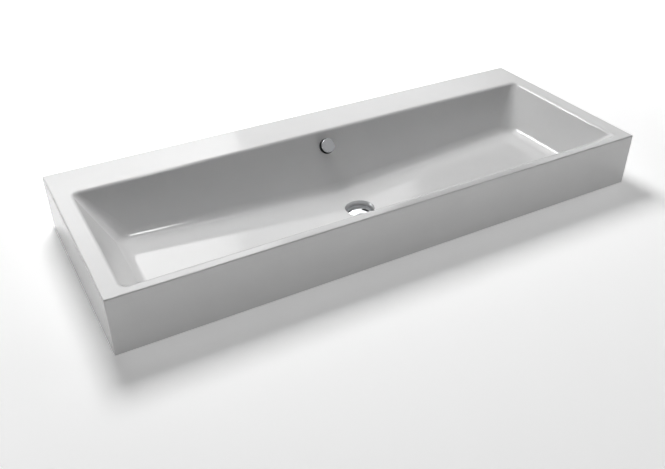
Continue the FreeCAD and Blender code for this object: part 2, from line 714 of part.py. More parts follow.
def overflow_collar():
    """The ring chamber that leads the overflow's water to the waste's windows."""
    bore_r = THREAD_R + THREAD_GAP
    chamber_low = COLLAR_LOW_Z + COLLAR_WALL
    chamber_top = COLLAR_TOP_Z - COLLAR_WALL
    collar = turned(
        [
            (bore_r, COLLAR_LOW_Z),
            (COLLAR_R, COLLAR_LOW_Z),
            (COLLAR_R, COLLAR_TOP_Z),
            (bore_r, COLLAR_TOP_Z),
            (bore_r, chamber_top),
            (CHAMBER_R, chamber_top),
            (CHAMBER_R, chamber_low),
            (bore_r, chamber_low),
        ]
    )
    collar = at_drain(collar)
    spigot_end = HOSE_END_Y + CUFF_LENGTH - OVERRUN
    root = Vector(0, DRAIN_Y + CHAMBER_R, COLLAR_MID_Z)
    back = Vector(0, 1, 0)
    spigot = Part.makeCylinder(SPIGOT_R, spigot_end - root.y, root, back)
    shoulder_foot = Vector(0, COLLAR_SHOULDER_Y, COLLAR_MID_Z)
    shoulder = Part.makeCylinder(CUFF_R, SPIGOT_SHOULDER_T, shoulder_foot, back)
    passage_foot = Vector(0, DRAIN_Y + bore_r, COLLAR_MID_Z)
    passage_length = spigot_end + OVERRUN - passage_foot.y
    passage = Part.makeCylinder(SPIGOT_BORE_R, passage_length, passage_foot, back)
    chamber = at_drain(rod(CHAMBER_R, chamber_low, chamber_top))
    collar = collar.fuse([spigot.cut(chamber), shoulder])
    return collar.cut(passage).removeSplitter()


def lock_nut():
    """The hexagon nut that draws the waste down on its seals."""
    nut = hexagon(LOCK_NUT_ACROSS_FLATS, LOCK_NUT_LOW_Z, LOCK_NUT_TOP_Z)
    return at_drain(nut.cut(rod(THREAD_R + THREAD_GAP, LOCK_NUT_LOW_Z, LOCK_NUT_TOP_Z)))


def cartridge_housing():
    """The cartridge's cup, with the stud that screws into the waste's bridge."""
    return at_drain(
        turned(
            [
                (0, BRIDGE_LOW_Z - STUD_END),
                (STUD_R, BRIDGE_LOW_Z - STUD_END),
                (STUD_R, CARTRIDGE_LOW_Z),
                (CARTRIDGE_R, CARTRIDGE_LOW_Z),
                (CARTRIDGE_R, HOUSING_TOP_Z),
                (CARTRIDGE_BORE_R, HOUSING_TOP_Z),
                (CARTRIDGE_BORE_R, SPRING_FOOT_Z),
                (0, SPRING_FOOT_Z),
            ]
        )
    )


def plug_stem():
    """The stem that screws into the cap and ends in the cartridge's piston."""
    top = SEAL_LOW_Z + STEM_GRIP
    return at_drain(
        turned(
            [
                (0, PISTON_LOW_Z),
                (PISTON_R, PISTON_LOW_Z),
                (PISTON_R, PISTON_TOP_Z),
                (STEM_R, PISTON_TOP_Z),
                (STEM_R, top),
                (0, top),
            ]
        )
    )


def plug_cap():
    """The domed cap, hollow below, with a hub that holds the seal and the stem."""
    crown_r = (CAP_R**2 + CAP_CROWN**2) / (2 * CAP_CROWN)
    hub_roof = CAP_TOP_Z - crown_r + math.sqrt(crown_r**2 - CAP_HUB_R**2) - CAP_WALL
    stem_top = SEAL_LOW_Z + STEM_GRIP
    outline = [
        (0, stem_top),
        (STEM_R, stem_top),
        (STEM_R, SEAL_LOW_Z),
        (BOSS_R, SEAL_LOW_Z),
        (BOSS_R, SEAL_TOP_Z),
        (CAP_HUB_R, SEAL_TOP_Z),
        (CAP_HUB_R, hub_roof),
        (CAP_R - CAP_WALL, CAP_LOW_Z),
        (CAP_R, CAP_LOW_Z),
        (CAP_R, CAP_RIM_Z),
    ]
    points = [Vector(radius, 0, height) for radius, height in outline]
    top = Vector(0, 0, CAP_TOP_Z)
    edges = [Part.makeLine(a, b) for a, b in zip(points, points[1:])]
    edges.append(dome_arc(points[-1], top))
    edges.append(Part.makeLine(top, points[0]))
    return at_drain(Part.Face(Part.Wire(edges)).revolve(Vector(), UP, 360))


def plug_seal():
    """The lip seal on the cap's boss, which closes the waste's throat."""
    lip_r = THROAT_R - SLIDE_GAP
    heel_r = (lip_r + CAP_HUB_R) / 2
    return at_drain(
        turned(
            [
                (BOSS_R, SEAL_LOW_Z),
                (CAP_HUB_R, SEAL_LOW_Z),
                (lip_r, (SEAL_LOW_Z + SEAL_TOP_Z) / 2),
                (lip_r, SEAL_TOP_Z),
                (heel_r, SEAL_TOP_Z),
                (BOSS_R, SEAL_TOP_Z),
            ]
        )
    )


def spring_point(turn):
    """A point of the spring's wire line, after a number of turns from its foot."""
    low = SPRING_FOOT_Z + SPRING_WIRE_R + SEAT_GAP
    high = PISTON_LOW_Z - SPRING_WIRE_R - SEAT_GAP
    angle = 2 * math.pi * turn
    height = low + (high - low) * turn / SPRING_TURNS
    return Vector(SPRING_R * math.cos(angle), SPRING_R * math.sin(angle), height)


def spring_tangent(turn):
    """The direction of the spring's wire line at that point."""
    angle = 2 * math.pi * turn
    climb = (spring_point(SPRING_TURNS).z - spring_point(0).z) / SPRING_TURNS
    round_r = 2 * math.pi * SPRING_R
    return Vector(-round_r * math.sin(angle), round_r * math.cos(angle), climb).normalize()


def arc_between(start, knee, end):
    """The arc from start to end whose end tangents meet at knee, as far from both."""
    middle = (start + end) / 2
    half_chord = (end - start).Length / 2
    rise = (knee - middle).Length
    radius = half_chord * (knee - start).Length / rise
    sagitta = radius - math.sqrt(radius**2 - half_chord**2)
    return Part.Arc(start, middle + (knee - middle) * (sagitta / rise), end).toShape()


def biarc(turn, next_turn):
    """Two arcs with one tangent where they meet, from one point of the spring to the next."""
    start, end = spring_point(turn), spring_point(next_turn)
    leave, arrive = spring_tangent(turn), spring_tangent(next_turn)
    gap = end - start
    both = leave + arrive
    spread = 2 * (1 - leave.dot(arrive))
    length = (math.sqrt(gap.dot(both) ** 2 + spread * gap.dot(gap)) - gap.dot(both)) / spread
    first_knee = start + leave * length
    second_knee = end - arrive * length
    joint = (first_knee + second_knee) / 2
    return [arc_between(start, first_knee, joint), arc_between(joint, second_knee, end)]


def cartridge_spring():
    """The cartridge's spring as one wire wound on half-turn biarcs."""
    halves = [i / 2 for i in range(2 * SPRING_TURNS)]
    line = Part.Wire([arc for turn in halves for arc in biarc(turn, turn + 0.5)])
    section = Part.makeCircle(SPRING_WIRE_R, spring_point(0), spring_tangent(0))
    return at_drain(line.makePipeShell([Part.Wire(section)], True, False))


def spring_gap():
    """The least gap between one turn of the spring and the next, measured on points."""
    count = SPRING_TURNS * SPRING_STEPS
    points = [spring_point(i / SPRING_STEPS) for i in range(count + 1)]
    apart = SPRING_STEPS // 2
    gaps = []
    for i, here in enumerate(points):
        gaps.extend((there - here).Length for there in points[i + apart :])
    return min(gaps) - 2 * SPRING_WIRE_R


def ring_seal(top):
    """A flat ring seal round the waste's thread."""
    inner_r = THREAD_R + THREAD_GAP
    return at_drain(ring(inner_r + RING_SEAL_WIDTH, inner_r, top - RING_SEAL_T, top))


def all_pieces():
    """Every piece by its node's name."""
    pieces = {"basin_shell": basin_shell()}
    for side_name, side in (("front", -1), ("back", 1)):
        for end_name, end in (("left", -1), ("right", 1)):
            pieces[f"fixing_bracket_{side_name}_{end_name}"] = fixing_bracket(side, end)
    pieces["bracket_nuts"] = bracket_nuts()
    pieces["damping_pad_left"] = damping_pad(-1)
    pieces["damping_pad_right"] = damping_pad(1)

    pieces["overflow_cover"] = overflow_cover()
    pieces["cover_clip"] = cover_clip()
    pieces["overflow_sleeve"] = overflow_sleeve()
    face_seal = ring(SLEEVE_FLANGE_R, SLEEVE_R + THREAD_GAP, 0, FACE_SEAL_T)
    pieces["overflow_face_seal"] = at_overflow(face_seal)
    back_seal = ring(ELBOW_FLANGE_R, SLEEVE_R + THREAD_GAP, -ELBOW_FRONT, -STEEL)
    pieces["overflow_back_seal"] = at_overflow(back_seal)
    pieces["overflow_elbow"] = overflow_elbow()
    pieces["overflow_hose"] = overflow_hose()
    pieces["hose_clamp_upper"] = hose_clamp(CUFF_LENGTH / 2)
    pieces["hose_clamp_lower"] = hose_clamp(HOSE_LENGTH - CUFF_LENGTH / 2)

    pieces["waste_body"] = waste_body()
    flange_seal = ring(FLANGE_R - WELL_BEND_R, WASTE_HOLE_R, WELL_FLOOR_Z, FLANGE_LOW_Z)
    pieces["flange_seal"] = at_drain(flange_seal)
    pieces["collar_seal_upper"] = ring_seal(WELL_UNDER_Z)
    pieces["overflow_collar"] = overflow_collar()
    pieces["collar_seal_lower"] = ring_seal(COLLAR_LOW_Z)
    washer_r = THREAD_R + THREAD_GAP + RING_SEAL_WIDTH
    washer = ring(washer_r, THREAD_R + THREAD_GAP, LOCK_NUT_TOP_Z, WASHER_TOP_Z)
    pieces["slip_washer"] = at_drain(washer)
    pieces["lock_nut"] = lock_nut()

    pieces["cartridge_housing"] = cartridge_housing()
    cartridge_cap = ring(CARTRIDGE_R, STEM_R + SLIDE_GAP, HOUSING_TOP_Z, CARTRIDGE_TOP_Z)
    pieces["cartridge_cap"] = at_drain(cartridge_cap)
    pieces["cartridge_spring"] = cartridge_spring()
    pieces["plug_stem"] = plug_stem()
    pieces["plug_cap"] = plug_cap()
    pieces["plug_seal"] = plug_seal()
    retainer = ring(RETAINER_R, STEM_R, RETAINER_LOW_Z, SEAL_LOW_Z)
    pieces["seal_retainer"] = at_drain(retainer)
    return pieces


os.makedirs("parts", exist_ok=True)
for name, shape in all_pieces().items():
    if not shape.isValid():
        raise ValueError(f"{name} is not a valid solid")
    shape.exportStep(f"parts/{name}.step")
    print(f"{name}: {len(shape.Solids)} solid, {shape.Volume / 1000:.2f} cm3")
print(f"hose: {HOSE_LENGTH:.1f} mm long, bend radius {HOSE_BEND_R:.1f} mm")
print(f"spring: least gap to itself {spring_gap():.2f} mm")
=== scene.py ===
"""Looks of a long countertop wash basin of white enamelled steel with its overflow set and its waste."""

import logging
import math
from dataclasses import dataclass
from enum import Enum

import bmesh
import bpy
import numpy as np
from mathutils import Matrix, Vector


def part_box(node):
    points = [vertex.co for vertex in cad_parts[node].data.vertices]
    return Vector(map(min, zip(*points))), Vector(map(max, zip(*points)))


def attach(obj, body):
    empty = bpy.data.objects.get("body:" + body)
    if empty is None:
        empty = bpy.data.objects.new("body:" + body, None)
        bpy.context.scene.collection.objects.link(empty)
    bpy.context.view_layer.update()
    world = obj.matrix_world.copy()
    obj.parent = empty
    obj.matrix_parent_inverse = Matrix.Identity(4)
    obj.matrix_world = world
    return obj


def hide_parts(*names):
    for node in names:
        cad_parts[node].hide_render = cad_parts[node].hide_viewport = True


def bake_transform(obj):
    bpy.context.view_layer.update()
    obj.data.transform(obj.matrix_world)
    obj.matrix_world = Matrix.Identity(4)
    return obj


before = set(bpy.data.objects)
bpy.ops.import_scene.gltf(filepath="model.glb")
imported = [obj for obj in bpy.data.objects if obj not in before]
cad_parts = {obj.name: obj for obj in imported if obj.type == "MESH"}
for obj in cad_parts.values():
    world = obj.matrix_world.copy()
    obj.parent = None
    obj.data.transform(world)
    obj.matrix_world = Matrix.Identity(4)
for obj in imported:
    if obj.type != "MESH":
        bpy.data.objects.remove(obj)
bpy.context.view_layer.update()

LOG = logging.getLogger("basin")
MM = 0.001

# Sockets of a mix node in its colour mode, which share their names with those of other modes
SHARE = 0
FIRST = 6
SECOND = 7
MIXED = 2

# The curve between sRGB values and linear light
BYTE_TOP = 255
SRGB_KNEE = 0.04045
SRGB_SLOPE = 12.92
SRGB_OFFSET = 0.055
SRGB_POWER = 2.4
WHITE = "#FFFFFF"

# Points of a new mesh that are closer than this become one, and sharper edges than this stay sharp
MERGE = 0.001 * MM
SHARP_EDGE = math.radians(50)

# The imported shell, and the attribute that marks its hidden side
SHELL = "basin_shell"
GROUND_COAT = "ground_coat"

# Short names of the node types
Tree = bpy.types.NodeTree
Node = bpy.types.Node
Socket = bpy.types.NodeSocket


class Body(Enum):
    """The bodies that pieces ride on."""

    BASIN = "basin"
    PLUG = "plug"


class Use(Enum):
    """What a studio card is for: to light the object, or to be seen in its gloss."""

    LAMP = "lamp"
    MIRRORED = "mirrored"


class Slot(Enum):
    """The record's material slots, which nothing in the script reads."""

    ENAMEL = "white_enamel"
    CHROME = "chrome"
    ZINC = "zinc_plated_steel"
    STAINLESS = "stainless_steel"
    HOSE = "grey_hose"


def linear(colour: str) -> tuple[float, float, float, float]:
    """Turn an sRGB hex colour into linear light.

    Args:
        colour: A hash sign and six hex digits.

    Returns:
        Red, green, blue and an alpha of one.
    """
    parts = np.array([int(colour[start : start + 2], 16) for start in (1, 3, 5)]) / BYTE_TOP
    curve = ((parts + SRGB_OFFSET) / (1 + SRGB_OFFSET)) ** SRGB_POWER
    light = np.where(parts <= SRGB_KNEE, parts / SRGB_SLOPE, curve)
    return (*light.tolist(), 1.0)


def add(tree: Tree, kind: str, settings: dict, links: dict | None = None) -> Node:
    """Add one node with its settings and its links.

    Args:
        tree: The node tree that takes the node.
        kind: The node's type name.
        settings: Values by the name of a property, or by the name or number of an input socket.
        links: Output sockets by the name or number of the input socket that each feeds.

    Returns:
        The new node.
    """
    node = tree.nodes.new(kind)
    for name, value in settings.items():
        if isinstance(name, int) or name in node.inputs:
            node.inputs[name].default_value = value
        else:
            setattr(node, name, value)
    for socket, source in (links or {}).items():
        tree.links.new(source, node.inputs[socket])
    return node


def pitch(size_mm: float) -> float:
    """How many features of that size lie in a metre, which is a pattern's scale."""
    return 1 / (size_mm * MM)


@dataclass(frozen=True)
class Finish:
    """A surface finish: what all materials of this object share.

    Each kind's detail method adds the colour, gloss and relief that the making leaves.
    """

    name: str
    colour: str
    roughness: float
    metallic: float = 0.0

    def material(self) -> bpy.types.Material:
        """Make the finish's material, or find it if it is made.

        Returns:
            A node material that reads Object coordinates.
        """
        made = bpy.data.materials.get(self.name)
        if made:
            return made
        made = bpy.data.materials.new(self.name)
        made.use_nodes = True
        tree = made.node_tree
        shader = tree.nodes["Principled BSDF"]
        shader.inputs["Base Color"].default_value = linear(self.colour)
        shader.inputs["Metallic"].default_value = self.metallic
        shader.inputs["Roughness"].default_value = self.roughness
        place = add(tree, "ShaderNodeTexCoord", {}).outputs["Object"]
        self.detail(tree, shader, place)
        return made

    def detail(self, tree: Tree, shader: Node, place: Socket) -> None:
        """Add the finish's own pattern; each kind of finish has one.

        Args:
            tree: The material's node tree.
            shader: Its shader.
            place: Coordinates in metres.
        """
        raise NotImplementedError

    def gloss(self, tree: Tree, shader: Node, value: Socket, spread: float) -> None:
        """Vary the roughness by a share of it either way.

        Args:
            tree: The material's node tree.
            shader: Its shader.
            value: What leads the roughness, from zero to one.
            spread: The share.
        """
        limits = {"To Min": self.roughness * (1 - spread), "To Max": self.roughness * (1 + spread)}
        rough = add(tree, "ShaderNodeMapRange", limits, {"Value": value})
        tree.links.new(rough.outputs["Result"], shader.inputs["Roughness"])

    def relief(self, tree: Tree, shader: Node, height: Socket, depth_mm: float) -> None:
        """Raise the surface by a height of so many millimetres.

        Args:
            tree: The material's node tree.
            shader: Its shader.
            height: What leads the relief, from zero to one.
            depth_mm: How high one stands.
        """
        bump = add(tree, "ShaderNodeBump", {"Distance": depth_mm * MM}, {"Height": height})
        tree.links.new(bump.outputs["Normal"], shader.inputs["Normal"])


@dataclass(frozen=True)
class VitreousEnamel(Finish):
    """White glass fused to steel: a deep even gloss with a slow waviness and a faint mottle.

    The hidden side has only the grey ground coat with dark specks, where an attribute says so.
    """

    shade: str = "#E8E8E8"
    ground: str = "#9298A0"
    speck: str = "#464B52"
    mottle_mm: float = 60.0
    wave_mm: float = 14.0
    wave_depth_mm: float = 0.006
    speck_mm: float = 1.6
    speck_from: float = 0.62
    speck_full: float = 0.68
    gloss_spread: float = 0.15
    mottle_detail: float = 3.0
    speck_detail: float = 2.0
    wave_detail: float = 1.0

    def detail(self, tree: Tree, shader: Node, place: Socket) -> None:
        """Mottle the white, speckle the ground coat, vary the gloss and wave the surface.

        Args:
            tree: The material's node tree.
            shader: Its shader.
            place: Coordinates in metres.
        """
        cloud = {"Scale": pitch(self.mottle_mm), "Detail": self.mottle_detail}
        mottle = add(tree, "ShaderNodeTexNoise", cloud, {"Vector": place}).outputs["Fac"]
        whites = {"data_type": "RGBA", FIRST: linear(self.colour), SECOND: linear(self.shade)}
        white = add(tree, "ShaderNodeMix", whites, {SHARE: mottle}).outputs[MIXED]
        grit = {"Scale": pitch(self.speck_mm), "Detail": self.speck_detail}
        dots = add(tree, "ShaderNodeTexNoise", grit, {"Vector": place}).outputs["Fac"]
        edge = {"From Min": self.speck_from, "From Max": self.speck_full}
        specks = add(tree, "ShaderNodeMapRange", edge, {"Value": dots}).outputs["Result"]
        greys = {"data_type": "RGBA", FIRST: linear(self.ground), SECOND: linear(self.speck)}
        coat = add(tree, "ShaderNodeMix", greys, {SHARE: specks}).outputs[MIXED]
        hidden = add(tree, "ShaderNodeAttribute", {"attribute_name": GROUND_COAT})
        sides = {SHARE: hidden.outputs["Fac"], FIRST: white, SECOND: coat}
        colour = add(tree, "ShaderNodeMix", {"data_type": "RGBA"}, sides).outputs[MIXED]
        tree.links.new(colour, shader.inputs["Base Color"])
        self.gloss(tree, shader, mottle, self.gloss_spread)
        slow = {"Scale": pitch(self.wave_mm), "Detail": self.wave_detail}
        wave = add(tree, "ShaderNodeTexNoise", slow, {"Vector": place}).outputs["Fac"]
        self.relief(tree, shader, wave, self.wave_depth_mm)


@dataclass(frozen=True)
class GrainedFinish(Finish):
    """A finish with one grain, which leads its colour, its gloss and its relief."""

    second: str = "#808080"
    grain_mm: float = 2.0
    drawn_out: tuple[float, float, float] = (1.0, 1.0, 1.0)
    relief_mm: float = 0.01
    gloss_spread: float = 0.2
    grain_detail: float = 4.0

    def detail(self, tree: Tree, shader: Node, place: Socket) -> None:
        """Mix the two colours by the grain and let it lead the gloss and the relief.

        Args:
            tree: The material's node tree.
            shader: Its shader.
            place: Coordinates in metres.
        """
        drawn = add(tree, "ShaderNodeMapping", {"Scale": self.drawn_out}, {"Vector": place})
        size = {"Scale": pitch(self.grain_mm), "Detail": self.grain_detail}
        grain = add(tree, "ShaderNodeTexNoise", size, {"Vector": drawn.outputs["Vector"]}).outputs["Fac"]
        pair = {"data_type": "RGBA", FIRST: linear(self.colour), SECOND: linear(self.second)}
        colour = add(tree, "ShaderNodeMix", pair, {SHARE: grain}).outputs[MIXED]
        tree.links.new(colour, shader.inputs["Base Color"])
        self.gloss(tree, shader, grain, self.gloss_spread)
        self.relief(tree, shader, grain, self.relief_mm)


@dataclass(frozen=True)
class BitumenFelt(Finish):
    """Pressed bitumen board: dark and dull, with grit in it and a mesh of squares embossed."""

    second: str = "#2A2A2C"
    grit_mm: float = 1.5
    mesh_mm: float = 7.0
    emboss_mm: float = 0.35
    gloss_spread: float = 0.1
    grit_detail: float = 4.0

    def detail(self, tree: Tree, shader: Node, place: Socket) -> None:
        """Fleck the board with grit and press the mesh into it, as the higher of two cosine waves.

        Args:
            tree: The material's node tree.
            shader: Its shader.
            place: Coordinates in metres.
        """
        size = {"Scale": pitch(self.grit_mm), "Detail": self.grit_detail}
        grit = add(tree, "ShaderNodeTexNoise", size, {"Vector": place}).outputs["Fac"]
        pair = {"data_type": "RGBA", FIRST: linear(self.colour), SECOND: linear(self.second)}
        colour = add(tree, "ShaderNodeMix", pair, {SHARE: grit}).outputs[MIXED]
        tree.links.new(colour, shader.inputs["Base Color"])
        self.gloss(tree, shader, grit, self.gloss_spread)
        split = add(tree, "ShaderNodeSeparateXYZ", {}, {"Vector": place})
        turns = 2 * math.pi * pitch(self.mesh_mm)
        waves = {}
        for number, axis in enumerate(("X", "Y")):
            along = {0: split.outputs[axis]}
            angle = add(tree, "ShaderNodeMath", {"operation": "MULTIPLY", 1: turns}, along)
            wave = add(tree, "ShaderNodeMath", {"operation": "COSINE"}, {0: angle.outputs["Value"]})
            waves[number] = wave.outputs["Value"]
        mesh = add(tree, "ShaderNodeMath", {"operation": "MAXIMUM"}, waves)
        self.relief(tree, shader, mesh.outputs["Value"], self.emboss_mm)


# Porcelain enamel, sprayed and fired: white with a soft gloss that mirrors the room faintly
ENAMEL = VitreousEnamel("vitreous_enamel", "#EDEDED", roughness=0.07)

# Bright chromium on polished brass: a clear mirror, a little cold, dulled in patches by wiping
CHROME = GrainedFinish(
    "polished_chrome",
    "#DCDEE0",
    roughness=0.045,
    metallic=1.0,
    second="#D3D5D8",
    grain_mm=9.0,
    relief_mm=0.0005,
)

# Zinc plate on folded sheet: a grey metal with soft cloudy spangle
ZINC = GrainedFinish(
    "zinc_plated_steel", "#B9BEC2", roughness=0.38, metallic=1.0, second="#A3A9AE", grain_mm=4.0
)

# Stainless strip and wire: brushed lines that blur what they mirror
STAINLESS = GrainedFinish(
    "brushed_stainless_steel",
    "#C6C7C6",
    roughness=0.28,
    metallic=1.0,
    second="#AEB0B0",
    grain_mm=3.0,
    drawn_out=(1.0, 1.0, 14.0),
    relief_mm=0.008,
)

# Turned brass: warm and half bright, with cloudy tarnish
BRASS = GrainedFinish(
    "turned_brass", "#C49A52", roughness=0.3, metallic=1.0, second="#B0863F", grain_mm=5.0
)

# Moulded rubber: nearly black and dull with a fine bloom
RUBBER = GrainedFinish(
    "moulded_rubber", "#1E1E1F", roughness=0.62, second="#29292A", grain_mm=0.8, relief_mm=0.02
)

# Bitumen felt: dull dark board with an embossed mesh
BITUMEN = BitumenFelt("bitumen_felt", "#3C3C3E", roughness=0.82)

# Polypropylene from a spark-eroded mould: off-white, half dull, with a fine even grain
POLYMER = GrainedFinish(
    "moulded_polypropylene", "#E2E3E0", roughness=0.42, second="#D8D9D6", grain_mm=1.2, relief_mm=0.006
)

# The same, dyed black as painted shade: the sleeve is black so that the shadowed gap behind the cover shows
# as a dark ring
GAP_SHADE_POLYMER = GrainedFinish(
    "black_polypropylene_painted_gap_shade", "#1C1C1D", roughness=0.45, second="#262627", grain_mm=1.2, relief_mm=0.006
)

# Soft PVC from an extruder: grey with a waxy sheen
HOSE = GrainedFinish("soft_pvc", "#8B9096", roughness=0.46, second="#7E838A", grain_mm=2.5)

# Acetal: milky white, slippery and smooth
ACETAL = GrainedFinish(
    "moulded_acetal", "#ECEBE4", roughness=0.34, second="#E2E0D8", grain_mm=1.5, relief_mm=0.004
)


def dress(finish: Finish, *names: str) -> None:
    """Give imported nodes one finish.

    Args:
        finish: The finish that they share.
        names: The nodes' names.
    """
    for name in names:
        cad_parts[name].material_slots[0].material = finish.material()
        LOG.info("%s: %s", name, finish.name)


def corners(node: str) -> tuple[np.ndarray, np.ndarray]:
    """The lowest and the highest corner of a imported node, in metres."""
    low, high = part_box(node)
    return np.array(low), np.array(high)


def surface(name: str, points: np.ndarray, close_rows: bool = False) -> bpy.types.Mesh:
    """Make a mesh from a grid of points that is closed round its columns.

    Args:
        name: The mesh's name.
        points: Rows by columns by three coordinates, in metres.
        close_rows: Whether the last row also joins the first.

    Returns:
        A smooth mesh whose poles are merged and whose faces point outwards.
    """
    rows, columns = points.shape[:2]
    index = np.arange(rows * columns).reshape(rows, columns)
    index = np.hstack([index, index[:, :1]])
    if close_rows:
        index = np.vstack([index, index[:1]])
    quads = np.stack([index[:-1, :-1], index[:-1, 1:], index[1:, 1:], index[1:, :-1]], axis=-1)
    mesh = bpy.data.meshes.new(name)
    mesh.from_pydata(points.reshape(-1, 3), [], quads.reshape(-1, 4))
    work = bmesh.new()
    work.from_mesh(mesh)
    bmesh.ops.remove_doubles(work, verts=work.verts, dist=MERGE)
    bmesh.ops.recalc_face_normals(work, faces=work.faces)
    work.to_mesh(mesh)
    work.free()
    mesh.shade_smooth()
    mesh.set_sharp_from_angle(angle=SHARP_EDGE)
    return mesh


def settle(mesh: bpy.types.Mesh, body: Body | None, finish: Finish) -> bpy.types.Object:
    """Put a new mesh on the object.

    Args:
        mesh: The piece's mesh, with its place in it.
        body: The body that it rides on, or None to leave it on no body.
        finish: Its finish.

    Returns:
        The piece.
    """
    piece = bpy.data.objects.new(mesh.name, mesh)
    bpy.context.scene.collection.objects.link(piece)
    mesh.materials.clear()
    mesh.materials.append(finish.material())
    if body is not None:
        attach(piece, body.value)
    LOG.info("%s: %s, %d faces", piece.name, finish.name, len(mesh.polygons))
    return piece


@dataclass
class EnamelShell:
    """The pressed steel shell: white where it shows and ground coat where it doesn't."""

    node: str = SHELL
    steel: float = 3.0 * MM
    flange: float = 22.0 * MM
    near: float = 1.0 * MM
    facing: float = 0.05

    def build(self) -> None:
        """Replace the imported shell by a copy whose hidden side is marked."""
        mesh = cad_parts[self.node].data.copy()
        mesh.name = "enamelled_shell"
        count = len(mesh.vertices)
        points = np.empty(count * 3, dtype=np.float32)
        mesh.vertices.foreach_get("co", points)
        normals = np.empty(count * 3, dtype=np.float32)
        mesh.vertices.foreach_get("normal", normals)
        hidden = self.hidden_side(points.reshape(-1, 3), normals.reshape(-1, 3))
        mark = mesh.attributes.new(GROUND_COAT, "FLOAT", "POINT")
        mark.data.foreach_set("value", hidden.astype(np.float32))
        shell = settle(mesh, Body.BASIN, ENAMEL)
        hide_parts(self.node)

    def hidden_side(self, points: np.ndarray, normals: np.ndarray) -> np.ndarray:
        """Find the points on the hidden side.

        A point is hidden if its surface faces down, if it lies on the skirt and faces the middle,
        or if it lies on the seat flange and doesn't face away from the middle.

        Args:
            points: One row of coordinates for each vertex, in metres.
            normals: The vertices' normals.

        Returns:
            True for each hidden vertex.
        """
        _, high = corners(self.node)
        inside = high[:2] - np.abs(points[:, :2])
        outwards = np.sign(points[:, :2]) * normals[:, :2]
        skirt = inside < self.steel + self.near
        inner_skirt = np.any(skirt & (outwards < -self.facing), axis=1)
        flange = np.any(inside < self.steel + self.flange + self.near, axis=1)
        low_down = points[:, 2] < 2 * self.steel
        inner_flange = flange & low_down & np.all(outwards < self.facing, axis=1)
        return (normals[:, 2] < -self.facing) | inner_skirt | inner_flange


@dataclass
class OverflowSet:
    """Cover, sleeve, elbow, hose and clamps of the overflow."""

    spigot_y: float = 130.3 * MM
    drop: float = 25.0 * MM
    crest_r: float = 10.6 * MM
    root_r: float = 8.8 * MM
    bore_r: float = 7.5 * MM
    cuff_r: float = 9.6 * MM
    cuff: float = 24.0 * MM
    rib_pitch: float = 5.0 * MM
    rib_square: float = 2.2
    step: float = 0.45 * MM
    bore_rows: int = 60
    sides: int = 48

    def build(self) -> None:
        """Dress the overflow's nodes and make the hose."""
        dress(CHROME, "overflow_cover")
        # The sleeve is dressed black as painted shade for the shadowed gap behind the cover
        dress(GAP_SHADE_POLYMER, "overflow_sleeve")
        dress(POLYMER, "overflow_elbow")
        dress(RUBBER, "overflow_face_seal", "overflow_back_seal")
        dress(ACETAL, "cover_clip")
        dress(STAINLESS, "hose_clamp_upper", "hose_clamp_lower")
        self.build_hose()

    def build_hose(self) -> None:
        """Make the ribbed hose with its bore: outer rows there, bore rows back, closed to a ring."""
        low, high = corners("overflow_hose")
        bend_r = high[2] - self.drop - (low[2] + self.crest_r)
        length = self.drop + bend_r * math.pi / 2 + self.spigot_y - bend_r - low[1]
        rows = round(length / self.step)
        there = np.linspace(0, length, rows)
        back = np.linspace(length, 0, self.bore_rows)
        distance = np.concatenate([there, back])
        radius = np.concatenate([self.outer_radius(there, length), np.full(self.bore_rows, self.bore_r)])
        points = self.sweep(distance, radius, high[2], bend_r)
        hose = settle(surface("ribbed_hose", points, close_rows=True), Body.BASIN, HOSE)
        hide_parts("overflow_hose")

    def outer_radius(self, distance: np.ndarray, length: float) -> np.ndarray:
        """The hose's outer radius: plain cuffs, and between them ribs with rounded flanks.

        A rib's outline is the hyperbolic tangent of a cosine wave, which squares the wave.

        Args:
            distance: How far along the hose, in metres.
            length: The hose's length.

        Returns:
            The radius at each distance.
        """
        ribbed = length - 2 * self.cuff
        turns = round(ribbed / self.rib_pitch)
        wave = -np.cos(2 * np.pi * turns * (distance - self.cuff) / ribbed)
        square = np.tanh(self.rib_square * wave) / math.tanh(self.rib_square)
        ribs = self.root_r + (self.crest_r - self.root_r) * (1 + square) / 2
        plain = (distance < self.cuff) | (distance > length - self.cuff)
        return np.where(plain, self.cuff_r, ribs)

    def sweep(self, distance: np.ndarray, radius: np.ndarray, top: float, bend_r: float) -> np.ndarray:
        """Carry a circle along the hose's path: straight down, a quarter turn and straight on.

        Args:
            distance: How far along the path each circle stands, in metres.
            radius: The circles' radii.
            top: The height at which the path starts.
            bend_r: The quarter turn's radius.

        Returns:
            Rows by columns by three coordinates.
        """
        turn = np.clip((distance - self.drop) / bend_r, 0, np.pi / 2)
        straight = np.maximum(distance - self.drop - bend_r * np.pi / 2, 0)
        y = self.spigot_y - bend_r * (1 - np.cos(turn)) - straight
        z = top - np.minimum(distance, self.drop) - bend_r * np.sin(turn)
        around = np.linspace(0, 2 * np.pi, self.sides, endpoint=False)
        side = radius[:, None] * np.cos(around)
        rise = radius[:, None] * np.sin(around)
        across = y[:, None] + rise * np.cos(turn)[:, None]
        height = z[:, None] - rise * np.sin(turn)[:, None]
        return np.stack([side, across, height], axis=-1)


